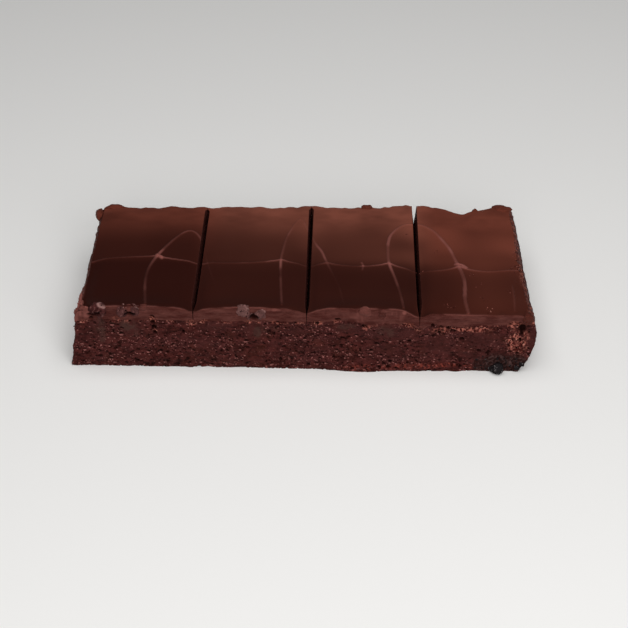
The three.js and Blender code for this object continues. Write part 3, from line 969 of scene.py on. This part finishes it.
@dataclass
class IcingSlice:
    """The icing on one slice: a closed slab with beads, cut edges and torn places.

    end_rounding is how far the left and right ends round in at the top, and cut_rounding the cuts.
    """

    index: int
    icing: bpy.types.Material
    bar: Bar = BAR
    front_face: FrontFace = FrontFace()
    steps: tuple[int, int, int] = (150, 224, 16)
    end_rounding: tuple[float, float] = (1.3, 1.6)
    cut_rounding: float = 0.1

    def milkiness(self, x: Values, from_front: Values) -> Values:
        """How much painted sheen the top has: more towards the back edge and to the right."""
        back = 0.95 * ramp(from_front, 52.0, 94.0) * (1.0 - 0.22 * ramp(x, 54.0, 66.0))
        right = 0.45 * ramp(x, -20.0, 85.0) * ramp(from_front, 22.0, 55.0)
        right = right * (1.0 - 0.85 * ramp(from_front, 60.0, 84.0))
        last = 0.2 * ramp(x, 52.0, 90.0) * (1.0 - 0.5 * ramp(from_front, 20.0, 60.0))
        past_first, past_third = ramp(x, -54.0, -36.0), ramp(x, 50.0, 62.0)
        half_way, far = ramp(from_front, 28.0, 46.0), ramp(from_front, 60.0, 80.0)
        behind = (0.13 + 0.12 * ramp(x, -8.0, 8.0)) * far
        middle = 0.05 + 0.1 * half_way * (1.0 - far * past_third) + behind * (1.0 - past_third)
        last = last + past_third * (1.0 - far) * (0.08 + 0.08 * half_way) + past_first * middle
        # A painted highlight runs along the cuts, most by the far half of the second and third.
        first, second, third = self.bar.cuts[1:4]
        by_cuts = 0.14 * bell(x - second, 7.0) + 0.22 * bell(x - third, 6.0)
        by_cuts = by_cuts * ramp(from_front, 38.0, 66.0)
        by_cuts = by_cuts + 0.1 * bell(x - first - 2.5, 3.5) * ramp(from_front, 12.0, 60.0)
        clouds = 1.0 + 0.3 * noise(x / 16, from_front / 11, 0.0, 51)
        clouds = clouds + 0.28 * crumbly(x / 7, from_front / 4, 0.0, 53, 2) * far
        # Between the arches' tops and the back edge the painted sheen is stronger.
        arches = sum(bell(x - arch_top, 9.0) for arch_top in (-54.0, -2.0, 50.0))
        arches = 0.14 * arches * bell(from_front - 76.0, 8.0)
        milky = 0.02 + back + right + last + by_cuts + arches + 0.1 * ramp(from_front, 36.0, 42.0)
        return 0.667 * clouds * milky

    def build(self) -> Piece:
        """Makes the piece and puts it in the place of its solid."""
        piece = boxed_grid(f"icing_slice_{self.index + 1}", self.steps)
        u, v, w = read_points(piece).T
        left, right = Cut(self.index), Cut(self.index + 1)
        ends = (self.index == 0, self.index == 3)
        # The mesh is finer towards its sides.
        across, along = (t - 0.3 / (2 * math.pi) * np.sin(2 * math.pi * t) for t in (u, v))
        y = between(self.bar.front, self.bar.front + self.bar.depth, along)
        x = between(self.bar.cuts[left.value], self.bar.cuts[right.value], across)
        low = self.bar.layer(x, y) + 0.05
        high = self.bar.surface(self.index, x, y)
        # The upper part of each side rounds over towards the top.
        rounding = 1.0 - np.sqrt(np.clip(1.0 - ramp(w, 0.45, 1.0) ** 2, 0.0, 1.0))
        z = low + (high - low) * w
        # A knife leaves a crisp edge, so it is rounded much less than the ends are.
        inset_left, inset_right = (
            rounding * (end if at_end else self.cut_rounding * (1.0 - self.bar.shut(cut, y)))
            for cut, at_end, end in zip((left, right), ends, self.end_rounding)
        )
        x = between(
            self.bar.wall(left, 1, y, z) + inset_left,
            self.bar.wall(right, -1, y, z) - inset_right,
            across,
        )
        drips = 0.9 * noise(x / 5, z / 6, 30.0) + 0.45 * noise(x / 2.1, z / 2.4, 31.0)
        back = self.bar.back(x) - 0.8 + drips - 0.9 * rounding
        y = between(self.bar.front + 0.25 * rounding, back, along)
        lift = sum(bead.rise(x, y - self.bar.front) for bead in BEADS)
        z = z + lift * ramp(w, 0.75, 1.0)
        on_front, _, on_left, on_right = sides(u, v)
        shown = self.front_face
        # Holes in the front take painted shade.
        hole, torn = (
            np.where(on_front, most(spots, x, z), 0.0) for spots in (shown.holes, shown.torn)
        )
        end_crumb = (on_left & ends[0]) * 0.2 + (on_right & ends[1]) * 1.0
        torn = np.maximum(torn, end_crumb * ramp(noise(y / 3, z / 2, 12.0), -0.5, 0.2))
        from_right = self.bar.wall(right, -1, y, z) - x
        wide = 1.0 + 0.7 * bell(y - self.bar.front - 42.0, 12.0)
        strip = ends[1] * ramp(from_right / wide, 3.0, 1.2)
        strip = strip * ramp(noise(x / 1.4, y / 2.6, 7.0), -0.1, 0.4)
        torn = np.maximum(torn, strip) * ramp(noise(x / 1.6, y / 1.6, z / 1.3, 90), -0.7, 0.2)
        fine = crumbly(x / 1.2, y / 1.2, z / 1.1, 44, 2)
        knife = 0.12 * noise(x / 6, z / 0.8, 3.0, 8) + 0.1 * noise(x / 1.4, z / 2.0, 3.0, 9)
        y = np.where(on_front, y + knife + torn * 0.35 * fine + shown.icing_hole * hole, y)
        rough_end = 0.35 * fine + 0.5 * noise(y / 2.4, z / 2.0, 14.0)
        x = np.where(on_right & ends[1], x - 0.4 + rough_end, x)
        x = np.where(on_left & ends[0], x + 0.3 + 0.8 * rough_end, x)
        side = on_front | on_left | on_right
        cut = np.where(side, 1.0 - ramp(w, 0.8, 1.0) * 0.45, 0.0)
        from_left = x - self.bar.wall(left, 1, y, z)
        flap = ends[0] * ramp(from_left, 2.4, 1.0) * ramp(y - self.bar.front, 26.0, 12.0)
        cut = np.maximum(cut, flap * ramp(noise(x / 1.2, y / 3.0, 9.0), -0.3, 0.3))
        write_points(piece, np.column_stack((x, y, z)))
        # Painted highlight on the piped lines and on the sharp edge along the front.
        from_front = y - self.bar.front
        edge = 0.55 * bell(from_front, 0.7) * ramp(noise(x / 6, 5.0, 0.0), -0.6, 0.3)
        dulled = 0.24 + 0.5 * ramp(noise(x / 7, y / 7, 2.0, 15), -0.3, 0.5)
        dulled = dulled * (0.5 + 0.5 * ramp(from_front, 26.0, 38.0))
        dulled = dulled + 0.12 * ramp(x, 56.0, 66.0)
        dulled = dulled * (1.0 + 0.35 * bell(from_front - 39.0, 4.5))
        crown = np.maximum(np.clip(lift / 0.42, 0.0, 1.0) ** 2.0 * dulled, edge) * ramp(w, 0.9, 1.0)
        # Pale places on the cut side and the left end's flap share the painted highlight.
        streaks = 0.35 + 0.65 * ramp(noise(x / 1.0, z / 3.5, 21.0, 4), -0.3, 0.5)
        pale = np.where(on_front, most(shown.pale, x, z) * streaks, 0.0)
        write_shares(
            piece,
            # Painted sheen on the top, more towards the back and the right.
            milky=self.milkiness(x, from_front) * (w > 0.5),
            # On the two middle slices the painted sheen takes a second colour.
            browned=ramp(x, -52.0, -34.0) * (1.0 - ramp(x, 48.0, 64.0)),
            crown=np.maximum(np.maximum(crown, pale), 0.5 * flap),
            cut=cut,
            torn=torn,
            pore=hole,
        )
        piece.data.materials.append(self.icing)
        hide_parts(f"slice_{self.index + 1}_icing")
        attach(piece, "root")
        return piece


@dataclass(frozen=True)
class Lump:
    """A rough lump: its middle, its half sizes, and how uneven it is.

    Its crown share paints a highlight over all of it, and its rim share one along its
    upper right edge. uncut is the share of it that no knife has scraped.
    """

    x: float
    from_front: float
    z: float
    half: tuple[float, float, float]
    uneven: float
    crown: float = 0.0
    rim: float = 0.0
    uncut: float = 0.2


@dataclass
class Lumps:
    """Lumps of one kind, joined as one piece."""

    name: str
    lumps: tuple[Lump, ...]
    material: bpy.types.Material
    slot_name: str
    detail: int = 5
    bar: Bar = BAR
    front_face: FrontFace = FrontFace()

    def build(self) -> Piece:
        """Makes the piece from balls that are pushed out of round."""
        bm, crowns, uncut = bmesh.new(), [], []
        for number, lump in enumerate(self.lumps):
            made = bmesh.ops.create_icosphere(bm, subdivisions=self.detail, radius=1.0)["verts"]
            points = np.array([v.co for v in made])
            edge = bell(points @ (0.6, 0.0, 0.8) - 0.86, 0.09) * ramp(points[:, 0], -0.4, 0.2)
            crowns.append(np.maximum(lump.crown, lump.rim * edge))
            uncut.append(np.full(len(made), lump.uncut))
            out = 1.0 + lump.uneven * crumbly(*(points.T * 1.5 + 5.0 * number), 60 + number, 4)
            middle = np.array((lump.x, self.bar.front + lump.from_front, lump.z))
            placed = (points * out[:, None] * lump.half + middle) * MM
            placed[:, 2] = np.maximum(placed[:, 2], 0.0)
            for vertex, place in zip(made, placed):
                vertex.co = place
        for face in bm.faces:
            face.smooth = True
        piece = to_piece(bm, self.name)
        x, y, z = (read_points(piece) / MM).T
        behind, uncut = y > 0.0, np.concatenate(uncut)
        # Holes in the lumps' fronts take painted shade.
        hole = np.where(behind, 0.0, most(self.front_face.holes, x, z) * ramp(z, 20.0, 22.0))
        write_points(piece, np.column_stack((x, y + self.front_face.icing_hole * hole, z)))
        write_shares(
            piece,
            # The lumps carry painted sheen, more of it at the back.
            milky=np.where(behind, 0.47, 0.27 * uncut),
            cut=~behind * (1.0 - uncut),
            crown=np.concatenate(crowns),
            pore=hole,
        )
        piece.data.materials.append(self.material)
        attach(piece, "root")
        return piece


ICING_LUMPS = (
    Lump(-92.4, 86.2, 29.9, (5.0, 2.2, 2.3), 0.3),
    Lump(-99.2, 81.8, 29.2, (2.1, 4.4, 2.4), 0.3),
    Lump(29.2, 88.4, 30.1, (3.0, 2.0, 2.3), 0.3),
    Lump(81.4, 87.4, 29.9, (1.6, 1.4, 1.6), 0.3),
    Lump(93.9, 88.8, 29.9, (5.2, 3.2, 2.4), 0.3),
    Lump(-68.8, 0.9, 31.6, (1.9, 1.3, 1.5), 0.3, 0.1),
    Lump(-98.2, 2.0, 27.2, (1.4, 1.6, 3.2), 0.9, 0.45),
    Lump(-97.4, 4.6, 30.0, (1.1, 2.6, 2.1), 0.9, 0.9),
    Lump(-98.0, 9.8, 30.2, (0.8, 2.8, 1.2), 0.6, 0.9),
    Lump(-94.8, 0.9, 29.6, (2.6, 1.0, 2.0), 0.6, 0.35, 0.9),
    Lump(28.4, 0.8, 31.0, (3.2, 1.4, 2.5), 0.35, 0.25, 0.5),
    Lump(35.6, 0.9, 30.2, (2.8, 1.3, 2.6), 0.35, 0.0, 0.5),
    Lump(-75.4, 0.8, 30.5, (3.7, 1.3, 2.4), 0.35, 0.1, 0.4),
    Lump(99.8, 1.2, 28.0, (2.8, 2.2, 3.0), 0.35, 0.0, 0.0, 0.7),
)
CHIP_LUMPS = (
    Lump(-89.4, 1.0, 30.2, (4.2, 2.6, 3.0), 0.4, 0.0, 0.9),
    Lump(-88.6, 0.7, 27.8, (2.8, 1.6, 2.4), 0.5, 0.05),
    Lump(-91.8, 0.8, 28.4, (1.8, 1.0, 1.6), 0.5, 0.1),
    Lump(-78.2, 0.8, 30.0, (2.6, 1.9, 2.8), 0.45, 0.08, 0.9),
    Lump(-73.4, 0.8, 30.2, (2.8, 1.9, 2.7), 0.45, 0.08, 0.6),
    Lump(-25.0, 0.8, 30.6, (2.9, 1.9, 2.6), 0.5, 0.3, 0.6),
    Lump(-22.8, 0.7, 28.8, (2.2, 1.4, 2.0), 0.6, 0.15, 0.4),
    Lump(-17.8, 0.8, 29.2, (2.9, 1.9, 3.1), 0.45, 0.2, 0.6),
)
FOOT_CHIPS = (
    Lump(87.7, -1.6, 2.75, (2.7, 2.5, 2.6), 0.3),
    Lump(85.0, -0.6, 1.6, (1.4, 1.0, 1.2), 0.5),
    Lump(98.4, 0.2, 4.0, (1.3, 0.9, 1.2), 0.5),
    Lump(96.4, -0.2, 2.2, (1.2, 0.8, 0.9), 0.5),
)


@dataclass
class LooseCrumbs:
    """Crumbs, flakes or specks of chocolate that stick to a face of the bar, joined as one piece.

    places are x, y, z and radius, and torn is the share of their colour that torn crumb has.
    """

    name: str
    places: list
    material: bpy.types.Material
    slot_name: str
    torn: float = 0.0

    def build(self) -> Piece:
        """Makes the piece, with each crumb a small uneven ball at true size."""
        rng = np.random.default_rng(8)
        bm = bmesh.new()
        for x, y, z, size in self.places:
            made = bmesh.ops.create_icosphere(bm, subdivisions=1, radius=size * MM)["verts"]
            squash = Vector(rng.uniform(0.55, 1.25, 3))
            angle, axis = rng.uniform(0, 2 * math.pi), Vector(rng.normal(size=3)).normalized()
            turn = Matrix.Rotation(angle, 3, axis)
            for vertex in made:
                moved = turn @ (vertex.co * squash * float(rng.uniform(0.8, 1.2)))
                vertex.co = moved + Vector((x, y, z)) * MM
        piece = to_piece(bm, self.name)
        write_shares(piece, torn=np.array(self.torn))
        piece.data.materials.append(self.material)
        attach(piece, "root")
        return piece


def flakes_on_top() -> list:
    """Places of the flakes on the fourth slice, by the third cut and along the right end."""
    rng = np.random.default_rng(21)
    made = []
    for x, d, spread, count, size in (
        (76.0, 30.5, 1.2, 3, 0.45), (79.5, 22.0, 1.6, 3, 0.4), (80.5, 11.0, 2.0, 4, 0.45),
        (82.5, 4.0, 2.6, 7, 0.5), (92.0, 17.5, 1.0, 3, 0.45), (66.0, 5.0, 3.0, 12, 0.42),
        (51.0, 34.0, 0.8, 2, 0.4), (54.5, 33.0, 0.8, 2, 0.45), (48.0, 64.0, 0.6, 2, 0.35),
        (62.0, 50.0, 3.0, 3, 0.3), (97.0, 37.5, 2.6, 12, 0.5),
    ):
        for _ in range(count):
            px, pd = x + rng.normal() * spread * 0.6, d + rng.normal() * spread * 0.6
            slice_index = int(np.searchsorted(BAR.cuts, px)) - 1
            z = BAR.surface(slice_index, np.array([px]), np.array([pd + BAR.front]))[0]
            made.append((px, pd + BAR.front, z + 0.1, 0.75 * size * rng.uniform(0.5, 1.2)))
    return made


def crumbs_on_front() -> list:
    """Places of the crumbs stuck to the front face, thickest where the crumb is torn."""
    rng = np.random.default_rng(34)
    face = FrontFace()
    made = []
    while len(made) < 450:
        x, z = rng.uniform(-100.5, 98.0), rng.uniform(0.6, 25.0)
        torn, smeared = most(face.torn, x, z), most(face.smeared, x, z)
        patch = noise(np.array([x / 9]), z / 5, 0.0, 77)[0]
        if rng.uniform() < 0.25 + 0.4 * patch + 0.65 * torn - 0.4 * smeared:
            made.append((x, BAR.front_face(x, z) - 0.1, z, rng.uniform(0.14, 0.36)))
    return made


def specks_at_foot() -> list:
    """Places of the specks of chocolate around the chip at the foot of the fourth slice."""
    rng = np.random.default_rng(55)
    made = []
    for _ in range(44):
        x, z = rng.uniform(77.0, 96.5), rng.uniform(0.8, 8.5)
        made.append((x, BAR.front_face(x, z), z, rng.uniform(0.25, 0.6)))
    return made


# The studio.


@dataclass(frozen=True)
class SoftLight:
    """A square soft box: where it hangs, what it points at, its size and power, in mm and watts."""

    name: str
    place: tuple[float, float, float]
    aim: tuple[float, float, float]
    size: tuple[float, float]
    power: float
    colour: str = "#ffffff"

    def build(self) -> None:
        """Adds the light."""
        data = bpy.data.lights.new(self.name, "AREA")
        data.shape = "RECTANGLE"
        data.size, data.size_y = self.size[0] * MM, self.size[1] * MM
        data.energy = self.power
        data.color = linear(self.colour)[:3]
        lamp = add_object(self.name, data)
        lamp.location = Vector(self.place) * MM
        towards = Vector(self.aim) - Vector(self.place)
        lamp.rotation_euler = towards.to_track_quat("-Z", "Y").to_euler()
        lamp.visible_camera = False


@dataclass
class Studio:
    """A pale floor, soft boxes and the camera."""

    lights: tuple[SoftLight, ...] = (
        SoftLight("front_box", (180, -900, 560), (0, 0, 20), (900, 500), 6.0),
        SoftLight("overhead_box", (60, -250, 1100), (0, 0, 0), (1300, 1300), 10.0),
    )
    camera_place: tuple[float, float, float] = (19.0, -610.9, 427.0)
    camera_down: float = 35.0
    camera_turn: float = 1.33
    focal_pixels: float = 1581.0
    image_pixels: float = 628.0

    def build(self) -> None:
        """Adds the floor, the lights and the camera."""
        bm = bmesh.new()
        bmesh.ops.create_grid(bm, x_segments=1, y_segments=1, size=3.0)
        floor = to_piece(bm, "floor")
        floor.data.materials.append(PaleFloor().make())
        for light in self.lights:
            light.build()
        world = bpy.data.worlds.new("studio_air")
        world.use_nodes = True
        air = world.node_tree.nodes["Background"].inputs
        air["Color"].default_value = linear("#ffffff")
        air["Strength"].default_value = 0.05
        bpy.context.scene.world = world
        bpy.context.scene.view_settings.view_transform = "Standard"
        data = bpy.data.cameras.new("camera")
        data.sensor_width = 36.0
        data.lens = self.focal_pixels / self.image_pixels * data.sensor_width
        data.clip_start, data.clip_end = 0.01, 20.0
        camera = add_object("camera", data)
        camera.location = Vector(self.camera_place) * MM
        tilt, turn = math.radians(90.0 - self.camera_down), math.radians(self.camera_turn)
        camera.rotation_euler = (tilt, 0.0, turn)
        bpy.context.scene.camera = camera


def main() -> None:
    """Builds the studio and the bar, and notes the sizes."""
    logging.basicConfig(level=logging.INFO)
    Studio().build()
    crumb = BrownieCrumb().make()
    icing = ChocolateIcing().make()
    chocolate = BloomedChocolate().make()
    # On the glossy chips the pale streaks are painted glints.
    glossy = BloomedChocolate(
        name="glossy_chocolate",
        dark="#0b090a",
        brown="#1b1517",
        bloom="#b4aaaa",
        rim="#6e686a",
        bloom_from=0.62,
        shine_level=0.1,
        shine="#ffffff",
    ).make()
    slices = [part for n in range(4) for part in (CakeSlice(n, crumb), IcingSlice(n, icing))]
    for part in (
        *slices,
        Lumps("icing_lumps", ICING_LUMPS, icing, "chocolate_icing"),
        Lumps("chocolate_chips", CHIP_LUMPS, chocolate, "chocolate_icing"),
        Lumps("foot_chips", FOOT_CHIPS, glossy, "chocolate_icing"),
        LooseCrumbs("flakes_on_icing", flakes_on_top(), crumb, "brownie_cake", 0.6),
        LooseCrumbs("crumbs_on_front", crumbs_on_front(), crumb, "brownie_cake"),
        LooseCrumbs("specks_at_foot", specks_at_foot(), glossy, "chocolate_icing"),
    ):
        piece = part.build()
        log.info("%s: %d faces", piece.name, len(piece.data.polygons))


if __name__ == "__main__":
    main()
